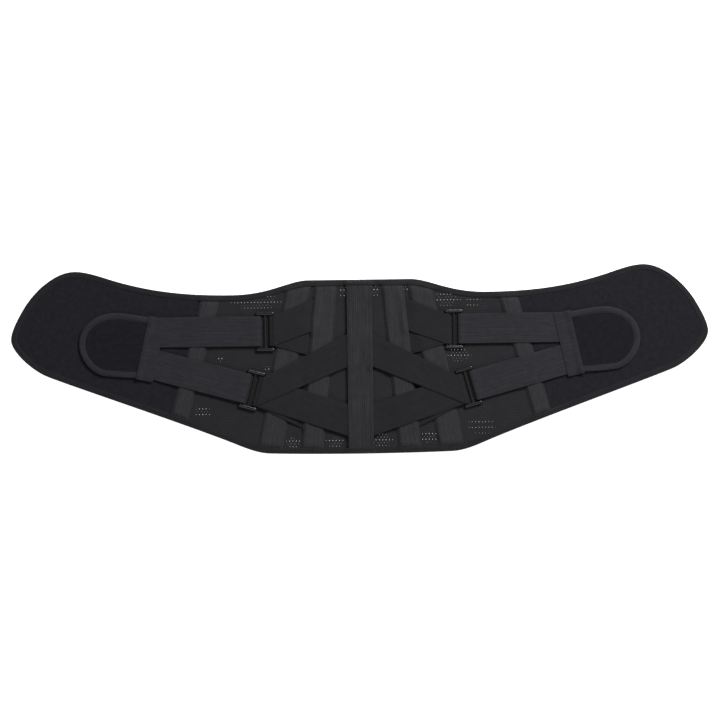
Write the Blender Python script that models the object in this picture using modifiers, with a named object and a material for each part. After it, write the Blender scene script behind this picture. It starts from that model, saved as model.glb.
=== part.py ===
"""Lumbar support belt with two pairs of elastic side pulls, laid flat with its outer face up.

Frame: X runs along the belt, Y up the wearer's back, Z out of the outer face. The origin is the middle of
the belt's outline, on the surface that it lies on.
"""
import math

import bmesh
import bpy
from mathutils import Matrix, Vector
from mathutils.geometry import interpolate_bezier

MM = 0.001
GAP = 0.3 * MM
SIDES = {"right": 1, "left": -1}

# Right half of the belt's outline, in mm: x, y, heading in degrees, handle before, handle after.
OUTLINE_KNOTS = (
    (0, 105.2, 0, 0, 22),
    (66, 105.2, 0, 22, 25),
    (165, 87.3, 0, 50, 60),
    (310, 105.7, 16, 45, 22),
    (368, 120.25, 0, 18, 26),
    (435, 71.6, -60, 26, 12),
    (451, 32.4, -90, 12, 14),
    (405, -15, -157, 22, 30),
    (158, -107.5, -157, 60, 16),
    (118, -118.5, -178, 12, 35),
    (0, -120.25, -180, 35, 0),
)
# The pull tab's free edge, from its upper to its lower corner beside the cross strip.
TAB_KNOTS = (
    (274.6, 60.5, 8, 0, 15),
    (314, 66.0, 2, 14, 26),
    (362.5, 26.0, -90, 24, 22),
    (328, -14.5, -175, 16, 14),
    (291.6, -17.2, -178, 12, 0),
)
POINTS_PER_ARC = 7

# Heights of the layers above the surface that the belt lies on.
BINDING_Z = (0.0, 5.4 * MM)
BINDING_WIDTH = 8 * MM
BINDING_WALL = 0.9 * MM
PANEL_Z = (1.2 * MM, 4.2 * MM)
HOOK_PATCH_Z = (0.0, 0.9 * MM)
POCKET_Z = (4.5 * MM, 8.2 * MM)
STRAP_THICKNESS = 1.2 * MM
STRAP_WIDTH = 39 * MM
BAR_Z = 7.1 * MM
BAR_RADIUS = 1.1 * MM
LOOP_RADIUS = BAR_RADIUS + GAP + STRAP_THICKNESS / 2
STRAP_TOP_Z = BAR_Z + LOOP_RADIUS
COVER_THICKNESS = 1.4 * MM

# Stay pockets: centre line's X at Y = 0, lean towards the belt's middle going up, width.
POCKETS = {
    "inner": (52.4 * MM, math.radians(5.5), 29 * MM),
    "mid": (96.4 * MM, math.radians(10.5), 31.7 * MM),
    "side": (215.0 * MM, math.radians(15.4), 24 * MM),
}
CENTRE_WIDTH = 32.5 * MM
CHANNEL = (15 * MM, 1.8 * MM)
STAY = (12 * MM, 1.0 * MM)
STAY_END_ROOM = 6 * MM
HINGE_OFFSET = 13 * MM

# Buckles: middle of the frame, and the slope of the strap that it carries.
BUCKLES = {
    "upper": (Vector((121.9 * MM, 40.0 * MM)), 0.0),
    "lower": (Vector((140.0 * MM, -35.6 * MM)), math.radians(15.2)),
}
BUCKLE_LENGTH = 24 * MM
BUCKLE_WIDTH = 51 * MM
RAIL_WIDTH = 4.5 * MM
RAIL_HEIGHT = 3.2 * MM
BAR_SPACING = 9.6 * MM
CENTRE_BAR = (4.6 * MM, 2.2 * MM)

# Webbing arms, from each buckle's inner bar towards the middle: slopes of the rising and the falling arm.
WEBBING_SLOPES = {
    "upper": (math.radians(21.4), math.radians(15.0)),
    "lower": (math.radians(24.6), math.radians(18.5)),
}
WEBBING_END_X = 6 * MM
TURNED_BACK_ELASTIC = 44 * MM
TURNED_BACK_WEBBING = 1.5 * MM

# Cross strip that clamps both elastic ends and carries the pull tab.
STRIP_MIDDLE = Vector((270.0 * MM, 18.7 * MM))
STRIP_LEAN = math.radians(12.5)
STRIP_SIZE = (22 * MM, 86 * MM)
STRIP_Z = (4.5 * MM, 11.4 * MM)
STRIP_SLOT_Z = (8.2 * MM, 10.0 * MM)
STRIP_WEB = 3 * MM
ELASTIC_INSIDE_STRIP = 14 * MM
TAB_HOOK_Z = (4.5 * MM, 5.5 * MM)
TAB_BINDING_Z = (5.8 * MM, 10.0 * MM)
TAB_BINDING_WALL = 0.7 * MM
TAB_BINDING_WIDTH = 8 * MM
TAB_OPEN_REACH = 20 * MM
TAB_HOOK_INSET = 3 * MM
TAB_HINGE_Z = 11.6 * MM

HOOK_PATCH_INSET = 13 * MM
HOOK_PATCH_START_X = 372 * MM
FAR = 0.6

for old in list(bpy.data.objects):
    bpy.data.objects.remove(old, do_unlink=True)

belt = bpy.data.collections.new("lumbar_support_belt")
cutters = bpy.data.collections.new("cutters")
for collection in (belt, cutters):
    bpy.context.scene.collection.children.link(collection)


def make_material(name, colour, roughness, metallic=0.0):
    material = bpy.data.materials.new(name)
    material.use_nodes = True
    shader = material.node_tree.nodes["Principled BSDF"]
    shader.inputs["Base Color"].default_value = (*colour, 1)
    shader.inputs["Roughness"].default_value = roughness
    shader.inputs["Metallic"].default_value = metallic
    return material


LOOP_FABRIC = make_material("loop_fabric", (0.018, 0.017, 0.021), 0.95)
MESH_FABRIC = make_material("mesh_fabric", (0.022, 0.022, 0.024), 0.9)
TAPE = make_material("binding_tape", (0.026, 0.025, 0.028), 0.85)
SLEEVE = make_material("pocket_tape", (0.030, 0.030, 0.032), 0.85)
WEBBING = make_material("webbing", (0.024, 0.023, 0.027), 0.8)
ELASTIC = make_material("ribbed_elastic", (0.032, 0.030, 0.034), 0.8)
PLASTIC = make_material("buckle_plastic", (0.015, 0.015, 0.016), 0.35)
HOOK = make_material("hook_tape", (0.012, 0.012, 0.013), 0.7)
SPRING_STEEL = make_material("stay_steel", (0.45, 0.45, 0.47), 0.35, 1.0)


def knots_to_points(knots):
    """Points along the Bezier curve through the knots, in metres."""
    points = []
    for before, after in zip(knots, knots[1:]):
        start = Vector(before[:2]) * MM
        end = Vector(after[:2]) * MM
        leave = Vector((math.cos(math.radians(before[2])), math.sin(math.radians(before[2]))))
        arrive = Vector((math.cos(math.radians(after[2])), math.sin(math.radians(after[2]))))
        arc = interpolate_bezier(
            start, start + leave * before[4] * MM, end - arrive * after[3] * MM, end, POINTS_PER_ARC
        )
        points += [Vector((p[0], p[1])) for p in arc[:-1]]
    points.append(Vector(knots[-1][:2]) * MM)
    return points


def inset(points, distance):
    """The closed clockwise outline moved inwards by the distance."""
    moved = []
    for i, point in enumerate(points):
        along = (points[(i + 1) % len(points)] - points[i - 1]).normalized()
        moved.append(point + Vector((along.y, -along.x)) * distance)
    return moved


def inner_edge(points, distance, reach=0.0):
    """An open clockwise edge moved inwards, with both ends led on straight by the reach."""
    count = len(points)
    moved = []
    for i, point in enumerate(points):
        along = (points[min(i + 1, count - 1)] - points[max(i - 1, 0)]).normalized()
        moved.append(point + Vector((along.y, -along.x)) * distance)
    if reach:
        first = (moved[0] - moved[1]).normalized() * reach
        last = (moved[-1] - moved[-2]).normalized() * reach
        moved = [moved[0] + first, *moved, moved[-1] + last]
    return moved


def mirrored(points, side):
    return [Vector((p.x * side, p.y)) for p in points]


half = knots_to_points(OUTLINE_KNOTS)
OUTLINE = half + [Vector((-p.x, p.y)) for p in reversed(half[1:-1])]


def show(obj, material, collection=belt):
    collection.objects.link(obj)
    if material:
        obj.data.materials.append(material)
    if collection is cutters:
        obj.hide_render = True
        obj.display_type = "WIRE"
    return obj


def solid_from_curve(name, curve, matrix, material, collection=belt):
    """A mesh object with the evaluated, welded form of a filled 2D curve."""
    source = bpy.data.objects.new(name + "_curve", curve)
    bpy.context.scene.collection.objects.link(source)
    source.matrix_world = matrix
    bpy.context.view_layer.update()
    graph = bpy.context.evaluated_depsgraph_get()
    mesh = bpy.data.meshes.new_from_object(source.evaluated_get(graph))
    mesh.name = name
    bpy.data.objects.remove(source)
    form = bmesh.new()
    form.from_mesh(mesh)
    bmesh.ops.remove_doubles(form, verts=form.verts, dist=1e-6)
    bmesh.ops.transform(form, matrix=matrix, verts=form.verts)
    bmesh.ops.recalc_face_normals(form, faces=form.faces)
    form.to_mesh(mesh)
    form.free()
    mesh.materials.clear()
    return show(bpy.data.objects.new(name, mesh), material, collection)


def filled_outline(name, points, thickness):
    curve = bpy.data.curves.new(name, "CURVE")
    curve.dimensions = "2D"
    curve.fill_mode = "BOTH"
    curve.extrude = thickness / 2
    spline = curve.splines.new("POLY")
    spline.points.add(len(points) - 1)
    for target, point in zip(spline.points, points):
        target.co = (point.x, point.y, 0, 1)
    spline.use_cyclic_u = True
    return curve


def plate(name, points, heights, material=None, collection=belt):
    """A flat piece with the given outline between two heights."""
    curve = filled_outline(name, points, heights[1] - heights[0])
    middle = Matrix.Translation((0, 0, sum(heights) / 2))
    return solid_from_curve(name, curve, middle, material, collection)


def ribbon(name, path, width, matrix, material=None, collection=belt):
    """A strap of one thickness that follows a path in its side view, placed by the matrix.

    The path's first coordinate runs along the strap and its second is height.
    """
    upper, lower = [], []
    for i, point in enumerate(path):
        along = (path[min(i + 1, len(path) - 1)] - path[max(i - 1, 0)]).normalized()
        offset = Vector((-along.y, along.x)) * STRAP_THICKNESS / 2
        upper.append(point + offset)
        lower.append(point - offset)
    curve = filled_outline(name, upper + lower[::-1], width)
    upright = Matrix.Rotation(math.pi / 2, 4, "X")
    return solid_from_curve(name, curve, matrix @ upright, material, collection)


def box(name, size, matrix, material=None, collection=belt):
    mesh = bpy.data.meshes.new(name)
    form = bmesh.new()
    bmesh.ops.create_cube(form, size=1)
    bmesh.ops.scale(form, vec=size, verts=form.verts)
    bmesh.ops.transform(form, matrix=matrix, verts=form.verts)
    form.to_mesh(mesh)
    form.free()
    return show(bpy.data.objects.new(name, mesh), material, collection)


def bar(name, radius, length, matrix, collection):
    """A round bar along the matrix's Y axis."""
    mesh = bpy.data.meshes.new(name)
    form = bmesh.new()
    bmesh.ops.create_cone(
        form, cap_ends=True, segments=20, radius1=radius, radius2=radius, depth=length
    )
    upright = Matrix.Rotation(math.pi / 2, 4, "X")
    bmesh.ops.transform(form, matrix=matrix @ upright, verts=form.verts)
    form.to_mesh(mesh)
    form.free()
    return show(bpy.data.objects.new(name, mesh), None, collection)


def combine(obj, tool, operation):
    modifier = obj.modifiers.new(operation.lower(), "BOOLEAN")
    modifier.operation = operation
    modifier.solver = "EXACT"
    modifier.object = tool


def apply_modifiers(obj):
    bpy.context.view_layer.update()
    graph = bpy.context.evaluated_depsgraph_get()
    mesh = bpy.data.meshes.new_from_object(obj.evaluated_get(graph))
    mesh.name = obj.name
    obj.modifiers.clear()
    obj.data = mesh


def keep_beyond(obj, point, normal):
    """Cuts the object with an upright plane and keeps what lies on the normal's side."""
    form = bmesh.new()
    form.from_mesh(obj.data)
    everything = form.verts[:] + form.edges[:] + form.faces[:]
    bmesh.ops.bisect_plane(
        form, geom=everything, plane_co=(*point, 0), plane_no=(*normal, 0), clear_inner=True
    )
    rim = [edge for edge in form.edges if edge.is_boundary]
    bmesh.ops.edgeloop_fill(form, edges=rim)
    bmesh.ops.recalc_face_normals(form, faces=form.faces)
    form.to_mesh(obj.data)
    form.free()


def copy_of(obj, name):
    twin = bpy.data.objects.new(name, obj.data.copy())
    twin.data.name = name
    belt.objects.link(twin)
    return twin


def leaning(x, y, angle, z=0.0):
    """A place on the belt whose Y axis leans by the angle towards -X."""
    return Matrix.Translation((x, y, z)) @ Matrix.Rotation(angle, 4, "Z")


def fold_line(side):
    """A point on the fold beside the side pocket, and the direction across it, away from the middle."""
    x, lean, _ = POCKETS["side"]
    across = Vector((math.cos(lean) * side, math.sin(lean)))
    return Vector((x * side, 0)) + across * HINGE_OFFSET, across


def axis_empty(name, position, direction):
    """An empty on a joint's axis, whose Y axis is the joint's direction."""
    empty = bpy.data.objects.new(name, None)
    empty.empty_display_size = 0.03
    belt.objects.link(empty)
    turn = Vector((0, 1, 0)).rotation_difference(Vector(direction)).to_matrix().to_4x4()
    empty.matrix_world = Matrix.Translation(position) @ turn
    return empty


def carry(empty, pieces):
    for piece in pieces:
        piece.parent = empty
        piece.matrix_parent_inverse = empty.matrix_world.inverted()


def make_panels():
    """The perforated back panel and the two padded wings, cut from one outline at the folds."""
    whole = plate("back_mesh_panel", inset(OUTLINE, BINDING_WALL + 0.1 * MM + GAP), PANEL_Z, MESH_FABRIC)
    wings = {}
    for name, side in SIDES.items():
        point, across = fold_line(side)
        wing = copy_of(whole, name + "_wing_panel")
        wing.data.materials[0] = LOOP_FABRIC
        keep_beyond(wing, point + across * GAP, across)
        keep_beyond(whole, point - across * GAP, -across)
        wings[name] = [wing]
    return wings


def make_binding(wings):
    """The folded tape round the edge, in one length per panel."""
    ring = plate("back_binding_top", OUTLINE, BINDING_Z, TAPE)
    hole = plate("binding_window", inset(OUTLINE, BINDING_WIDTH), (-FAR, FAR), None, cutters)
    slot_z = (BINDING_WALL, BINDING_Z[1] - BINDING_WALL)
    slot = plate("binding_slot", inset(OUTLINE, BINDING_WALL + 0.1 * MM), slot_z, None, cutters)
    combine(ring, hole, "DIFFERENCE")
    combine(ring, slot, "DIFFERENCE")
    apply_modifiers(ring)
    for name, side in SIDES.items():
        point, across = fold_line(side)
        piece = copy_of(ring, name + "_wing_binding")
        keep_beyond(piece, point + across * GAP, across)
        wings[name].append(piece)
        keep_beyond(ring, point - across * GAP, -across)
    bottom = copy_of(ring, "back_binding_bottom")
    keep_beyond(ring, Vector((0, 0)), Vector((0, 1)))
    keep_beyond(bottom, Vector((0, 0)), Vector((0, -1)))


def make_hook_patch(wings):
    """The front closure's hook patch, under the left wing's end."""
    rim = inset(OUTLINE, HOOK_PATCH_INSET)
    patch = plate("front_hook_patch", rim, HOOK_PATCH_Z, HOOK)
    keep_beyond(patch, Vector((-HOOK_PATCH_START_X, 0)), Vector((-1, 0)))
    wings["left"].append(patch)


def make_pocket(name, place, width, bounds):
    """A tape sleeve open at both ends, and the flat spring stay inside it."""
    height = POCKET_Z[1] - POCKET_Z[0]
    middle = Matrix.Translation((0, 0, sum(POCKET_Z) / 2))
    sleeve = box(name + "_pocket", (width, FAR, height), place @ middle, SLEEVE)
    channel = box(name + "_channel", (CHANNEL[0], FAR * 2, CHANNEL[1]), place @ middle, None, cutters)
    combine(sleeve, bounds, "INTERSECT")
    combine(sleeve, channel, "DIFFERENCE")
    stay = box(name + "_stay", (STAY[0], FAR, STAY[1]), place @ middle, SPRING_STEEL)
    combine(stay, stay_bounds, "INTERSECT")


def make_pockets(bounds):
    make_pocket("centre", Matrix(), CENTRE_WIDTH, bounds)
    for kind, (x, lean, width) in POCKETS.items():
        for name, side in SIDES.items():
            make_pocket(f"{name}_{kind}", leaning(x * side, 0, lean * side), width, bounds)


def make_centre_cover():
    """The wide tape over the pocket and the webbing ends, raised where the webbing lies under it."""
    rise = STRAP_THICKNESS + GAP
    low = POCKET_Z[1] + GAP
    stations = (
        (-111.6 * MM, 0), (-109.5 * MM, 0), (-105.5 * MM, rise),
        (50 * MM, rise), (54 * MM, 0), (96.6 * MM, 0),
    )
    under = [Vector((y, low + up)) for y, up in stations]
    over = [Vector((y, low + up + COVER_THICKNESS)) for y, up in stations]
    curve = filled_outline("centre_cover_band", under + over[::-1], CENTRE_WIDTH)
    upright = Matrix.Rotation(math.pi / 2, 4, "Z") @ Matrix.Rotation(math.pi / 2, 4, "X")
    solid_from_curve("centre_cover_band", curve, upright, WEBBING)


def buckle_place(which, side):
    """The buckle's middle on its bars' level: X along the strap, away from the belt's middle."""
    centre, slope = BUCKLES[which]
    if side > 0:
        turn = Matrix.Rotation(slope, 4, "Z")
    else:
        turn = Matrix.Rotation(math.pi - slope, 4, "Z")
    return Matrix.Translation((centre.x * side, centre.y, BAR_Z)) @ turn


def make_buckle(name, place):
    """A three-bar slider: two rails joined by a round bar at each end and a flat one between."""
    rail_y = (BUCKLE_WIDTH - RAIL_WIDTH) / 2
    rail_size = (BUCKLE_LENGTH, RAIL_WIDTH, RAIL_HEIGHT)
    buckle = box(name, rail_size, place @ Matrix.Translation((0, rail_y, 0)), PLASTIC)
    soften = buckle.modifiers.new("rounded_edges", "BEVEL")
    soften.width = 0.9 * MM
    soften.segments = 2
    apply_modifiers(buckle)
    far_rail = copy_of(buckle, name + "_far_rail")
    belt.objects.unlink(far_rail)
    cutters.objects.link(far_rail)
    far_rail.hide_render = True
    far_rail.display_type = "WIRE"
    across = place.to_3x3() @ Vector((0, -2 * rail_y, 0))
    far_rail.data.transform(Matrix.Translation(across))
    reach = BUCKLE_WIDTH - RAIL_WIDTH
    inner = bar(
        name + "_inner_bar", BAR_RADIUS, reach, place @ Matrix.Translation((-BAR_SPACING, 0, 0)), cutters
    )
    outer = bar(
        name + "_outer_bar", BAR_RADIUS, reach, place @ Matrix.Translation((BAR_SPACING, 0, 0)), cutters
    )
    flat = box(name + "_centre_bar", (CENTRE_BAR[0], reach, CENTRE_BAR[1]), place, None, cutters)
    for piece in (far_rail, inner, outer, flat):
        combine(buckle, piece, "UNION")
    return buckle


def loop_path(run, turned_back, towards):
    """Side view of a strap turned round a bar at the origin; towards is +1 or -1 along the strap."""
    steps = 8
    path = [Vector((towards * run, LOOP_RADIUS))]
    for i in range(steps + 1):
        angle = math.pi / 2 + towards * math.pi * i / steps
        path.append(Vector((math.cos(angle), math.sin(angle))) * LOOP_RADIUS)
    path.append(Vector((towards * turned_back, -LOOP_RADIUS)))
    return path


def line_at(point, direction, x):
    return point + direction * (x - point.x) / direction.x


def crossing(point, direction, other_point, other_direction):
    gap = other_point - point
    share = gap.cross(other_direction) / direction.cross(other_direction)
    return point + direction * share


def webbing_outline(which):
    """The right side's two arms in plan, spreading from the buckle's inner bar, as one outline."""
    place = buckle_place(which, 1)
    bar_end = (place @ Vector((-BAR_SPACING - 2 * MM, STRAP_WIDTH / 2, 0))).to_2d()
    other_bar_end = (place @ Vector((-BAR_SPACING - 2 * MM, -STRAP_WIDTH / 2, 0))).to_2d()
    start = (bar_end + other_bar_end) / 2
    rising, falling = WEBBING_SLOPES[which]
    up = Vector((-math.cos(rising), math.sin(rising)))
    down = Vector((-math.cos(falling), -math.sin(falling)))
    up_across = Vector((math.sin(rising), math.cos(rising))) * STRAP_WIDTH / 2
    down_across = Vector((-math.sin(falling), math.cos(falling))) * STRAP_WIDTH / 2
    notch = crossing(start - up_across, up, start + down_across, down)
    return [
        bar_end,
        line_at(start + up_across, up, WEBBING_END_X),
        line_at(start - up_across, up, WEBBING_END_X),
        notch,
        line_at(start + down_across, down, WEBBING_END_X),
        line_at(start - down_across, down, WEBBING_END_X),
        other_bar_end,
    ]


def make_webbing(name, which, side):
    """Both arms and the turn round the buckle's inner bar."""
    heights = (STRAP_TOP_Z - STRAP_THICKNESS / 2, STRAP_TOP_Z + STRAP_THICKNESS / 2)
    arms = plate(name, mirrored(webbing_outline(which), side), heights, WEBBING)
    if which == "upper":
        x, lean, width = POCKETS["inner"]
        edge = Vector((x * side, 0)) + Vector((math.cos(lean) * side, math.sin(lean))) * width / 2
        keep_beyond(arms, edge, Vector((math.cos(lean) * side, math.sin(lean))))
        above = mirrored(webbing_outline("lower")[:2], side)
        along = (above[1] - above[0]).normalized()
        normal = Vector((-along.y, along.x)) * -side
        keep_beyond(arms, above[1] + normal * GAP, normal)
    place = buckle_place(which, side) @ Matrix.Translation((-BAR_SPACING, 0, 0))
    turn = ribbon(
        name + "_turn", loop_path(5 * MM, TURNED_BACK_WEBBING, -1), STRAP_WIDTH, place, None, cutters
    )
    combine(arms, turn, "UNION")


def make_elastic(name, which, side):
    """The strap from the cross strip, round the buckle's outer bar and back underneath."""
    place = buckle_place(which, side) @ Matrix.Translation((BAR_SPACING, 0, 0))
    start = (place @ Vector((0, 0, 0))).to_2d()
    along = (place.to_3x3() @ Vector((1, 0, 0))).to_2d()
    across = Vector((math.cos(STRIP_LEAN) * side, math.sin(STRIP_LEAN)))
    inner_edge = Vector((STRIP_MIDDLE.x * side, STRIP_MIDDLE.y)) - across * STRIP_SIZE[0] / 2
    run = (inner_edge + across * ELASTIC_INSIDE_STRIP - start).dot(across) / along.dot(across)
    ribbon(name, loop_path(run, TURNED_BACK_ELASTIC, 1), STRAP_WIDTH, place, ELASTIC)


def strip_place(side):
    return leaning(STRIP_MIDDLE.x * side, STRIP_MIDDLE.y, STRIP_LEAN * side)


def make_cross_strip(name, side):
    """A folded tape, open towards the belt's middle, that clamps both elastic ends."""
    place = strip_place(side)
    height = STRIP_Z[1] - STRIP_Z[0]
    strip = box(
        name, (STRIP_SIZE[0], STRIP_SIZE[1], height),
        place @ Matrix.Translation((0, 0, sum(STRIP_Z) / 2)), TAPE
    )
    slot_height = STRIP_SLOT_Z[1] - STRIP_SLOT_Z[0]
    slot = box(
        name + "_slot", (STRIP_SIZE[0], FAR, slot_height),
        place @ Matrix.Translation((-STRIP_WEB * side, 0, sum(STRIP_SLOT_Z) / 2)), None, cutters
    )
    combine(strip, slot, "DIFFERENCE")
    return strip


def make_tab(name, side):
    """The pull tab: a padded face, a folded tape round its edge and a hook patch underneath."""
    outline = knots_to_points(TAB_KNOTS)
    slot_z = (TAB_BINDING_Z[0] + TAB_BINDING_WALL, TAB_BINDING_Z[1] - TAB_BINDING_WALL)
    pad_z = (slot_z[0] + GAP, slot_z[1] - GAP)
    rim = plate(name + "_binding", mirrored(outline, side), TAB_BINDING_Z, TAPE)
    window = mirrored(inner_edge(outline, TAB_BINDING_WIDTH, TAB_OPEN_REACH), side)
    recess = mirrored(inner_edge(outline, TAB_BINDING_WALL, TAB_OPEN_REACH), side)
    combine(rim, plate(name + "_window", window, (-FAR, FAR), None, cutters), "DIFFERENCE")
    combine(rim, plate(name + "_recess", recess, slot_z, None, cutters), "DIFFERENCE")
    face = mirrored(inner_edge(outline, TAB_BINDING_WALL + GAP), side)
    pad = plate(name + "_pad", face, pad_z, LOOP_FABRIC)
    hook = plate(name + "_hook", mirrored(inner_edge(outline, TAB_HOOK_INSET), side), TAB_HOOK_Z, HOOK)
    return [rim, pad, hook]


def make_straps(wings):
    """Everything that repeats on both sides over the panels, with the moving pieces on their axes."""
    for name, side in SIDES.items():
        point, across = fold_line(side)
        wing_axis = axis_empty(name + "_wing_fold", (*point, 0), (-across.y, across.x, 0))
        carry(wing_axis, wings[name])
        for which in BUCKLES:
            place = buckle_place(which, side)
            inner = place @ Vector((-BAR_SPACING, 0, 0))
            axis = axis_empty(
                f"{name}_{which}_buckle_axis", inner, place.to_3x3() @ Vector((0, 1, 0))
            )
            carry(axis, [make_buckle(f"{name}_{which}_buckle", place)])
            make_webbing(f"{name}_{which}_webbing", which, side)
            make_elastic(f"{name}_{which}_elastic", which, side)
        strip = make_cross_strip(name + "_cross_strip", side)
        pull = axis_empty(name + "_pull_slide", (STRIP_MIDDLE.x * side, STRIP_MIDDLE.y, 0), (side, 0, 0))
        carry(pull, [strip])
        edge = strip_place(side) @ Vector(((STRIP_SIZE[0] / 2 + GAP) * side, 0, TAB_HINGE_Z))
        tab_axis = axis_empty(
            name + "_tab_fold", edge, strip_place(side).to_3x3() @ Vector((0, 1, 0))
        )
        carry(tab_axis, make_tab(name + "_tab", side))


panel_bounds = plate(
    "pocket_bounds", inset(OUTLINE, BINDING_WIDTH + GAP), (POCKET_Z[0], POCKET_Z[1]), None, cutters
)
stay_bounds = plate(
    "stay_bounds", inset(OUTLINE, BINDING_WIDTH + STAY_END_ROOM), (-FAR, FAR), None, cutters
)
wing_pieces = make_panels()
make_binding(wing_pieces)
make_hook_patch(wing_pieces)
make_pockets(panel_bounds)
make_centre_cover()
make_straps(wing_pieces)
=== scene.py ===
"""Looks of the lumbar support belt, laid flat with its outer face up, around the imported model.

Every layer is laid on the ones below it: a grid of heights over the belt holds what has been laid so far,
so a strap rises over a pocket and the binding over a pocket's end. Sizes below are in metres.
"""

import math

import bmesh
import bpy
import numpy as np
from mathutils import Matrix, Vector
from mathutils.geometry import delaunay_2d_cdt, interpolate_bezier


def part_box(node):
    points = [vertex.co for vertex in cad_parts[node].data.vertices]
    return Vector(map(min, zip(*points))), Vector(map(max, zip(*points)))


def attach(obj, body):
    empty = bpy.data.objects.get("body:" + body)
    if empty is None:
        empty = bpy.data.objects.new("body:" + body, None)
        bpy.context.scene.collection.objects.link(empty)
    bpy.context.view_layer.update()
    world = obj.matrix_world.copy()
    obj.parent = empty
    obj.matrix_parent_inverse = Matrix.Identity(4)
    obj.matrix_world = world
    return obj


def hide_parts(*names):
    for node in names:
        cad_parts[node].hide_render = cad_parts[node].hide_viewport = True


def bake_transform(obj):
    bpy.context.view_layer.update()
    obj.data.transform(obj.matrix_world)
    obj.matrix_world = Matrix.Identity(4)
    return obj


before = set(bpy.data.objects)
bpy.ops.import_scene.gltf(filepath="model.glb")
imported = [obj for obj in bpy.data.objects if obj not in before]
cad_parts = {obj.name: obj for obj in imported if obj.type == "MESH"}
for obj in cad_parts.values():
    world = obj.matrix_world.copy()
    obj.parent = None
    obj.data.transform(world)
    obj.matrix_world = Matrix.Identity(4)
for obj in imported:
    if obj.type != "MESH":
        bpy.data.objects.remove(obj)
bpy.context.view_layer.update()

MM = 0.001
SIDES = {"right": 1, "left": -1}

# The right half of the belt's outline and the pull tab's free edge, in mm: x, y, the heading in degrees,
# and the lengths of the curve's handles before and after the knot.
OUTLINE_KNOTS = (
    (0, 105.2, 0, 0, 22),
    (66, 105.2, 0, 22, 25),
    (165, 87.3, 0, 50, 60),
    (310, 105.7, 16, 45, 22),
    (368, 120.25, 0, 18, 26),
    (435, 71.6, -60, 26, 12),
    (451, 32.4, -90, 12, 14),
    (405, -15, -157, 22, 30),
    (158, -107.5, -157, 60, 16),
    (118, -118.5, -178, 12, 35),
    (0, -120.25, -180, 35, 0),
)
TAB_KNOTS = (
    (274.6, 60.5, 8, 0, 15),
    (314, 66.0, 2, 14, 26),
    (362.5, 26.0, -90, 24, 22),
    (328, -15.7, -175, 16, 14),
    (291.6, -18.4, -178, 12, 0),
)
POINTS_PER_ARC = 25

MESH_Z = (1.6 * MM, 3.9 * MM)
WING_Z = (1.2 * MM, 4.2 * MM)
LAY_GAP = 0.15 * MM
TAPE_THICKNESS = 0.8 * MM
STRAP_THICKNESS = 1.2 * MM
STRAP_WIDTH = 39 * MM
SPACING_ALONG = 2.5 * MM
FLOOR_Z = -0.02 * MM

# How far in from a strap's edge its rounding starts, and the share of the thickness left at the edge.
EDGE_ROUNDING = 0.8 * MM
EDGE_SHARE = 0.3

# Stay pockets: centre line's X at Y = 0, lean towards the belt's middle going up, width.
POCKETS = {
    "mid": (96.4 * MM, math.radians(10.5), 31.7 * MM),
    "side": (215.0 * MM, math.radians(15.4), 24 * MM),
    "inner": (52.4 * MM, math.radians(5.5), 29 * MM),
    "centre": (0.0, 0.0, 32.5 * MM),
}
POCKET_RISE = 3.2 * MM
POCKET_SEAM_INSET = 1.9 * MM
POCKET_TUCK = 4 * MM
CENTRE_HALF_THICKNESS = 0.6 * MM
CENTRE_RIB_PITCH = 2.4 * MM
CENTRE_SEAM_INSET = 3.0 * MM
HEM_HEIGHT = 0.3 * MM

# The wings' folds run this far outside the side pockets' centre lines, and each bend is this wide.
FOLD_OFFSET = 13 * MM
FOLD_WIDTH = 20 * MM

# How uneven the cloth lies, and the distance from the belt's middle beyond which it no longer changes
# along the belt, so that a pull tab slides over a wing at one height.
SWELL_HEIGHT = 0.4 * MM
PUCKER_HEIGHT = 0.09 * MM
EVEN_BEYOND = 232 * MM

# The folded edge tape: how far in it reaches, its height from bottom to top, and its crown.
BINDING_WIDTH = 8 * MM
BINDING_DEPTH = 4.0 * MM
BINDING_CROWN = 0.25 * MM
RIM_SEAM_INSET = 1.6 * MM

# Each buckle's middle and the slope of the elastic from it.
BUCKLES = {
    "upper": ((121.9 * MM, 40.0 * MM), 0.0),
    "lower": ((140.0 * MM, -35.6 * MM), math.radians(15.2)),
}
BUCKLE_SIZE = (24 * MM, 51 * MM)
RAIL_WIDTH = 4.5 * MM
RAIL_HEIGHT = 4.4 * MM
BAR_Z = 7.1 * MM
BAR_RADIUS = 0.8 * MM
BAR_SPACING = 9.6 * MM
BUCKLE_DROP = {"upper": 0.5 * MM, "lower": 0.0}
CENTRE_BAR_DROP = 1.5 * MM
BAR_FACETS = 16
TURN_ROWS_ABOVE = 3
TEETH = 41
TOOTH_DEPTH = 0.25 * MM
TILT_PROBE = 12 * MM

# A turned strap's half height about its bar, and how far it reaches past the bar's centre.
LOOP_RADIUS = BAR_RADIUS + 0.6 * MM + STRAP_THICKNESS / 2
LOOP_REACH = LOOP_RADIUS + 1.9 * MM

# Webbing arms from each buckle's inner bar, in the order of laying: the name's ending, the slope in
# degrees, the lift over the bar and the gap from it in mm, and whether the arm runs on to the belt's
# middle or ends under the inner pocket.
WEBBING_ARMS = {
    "upper": (("", -15.0, 0.0, 1.0, False), ("_rising", 21.4, 0.9, 1.0, False)),
    "under": (("", -26.0, -0.5, 3.5, False),),
    "lower": (("_falling", -18.5, 0.5, 1.0, True), ("_rising", 24.6, 1.4, 1.0, True)),
}
WEBBING_END_X = 6 * MM
TUCK_UNDER_POCKET = 5 * MM

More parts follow.
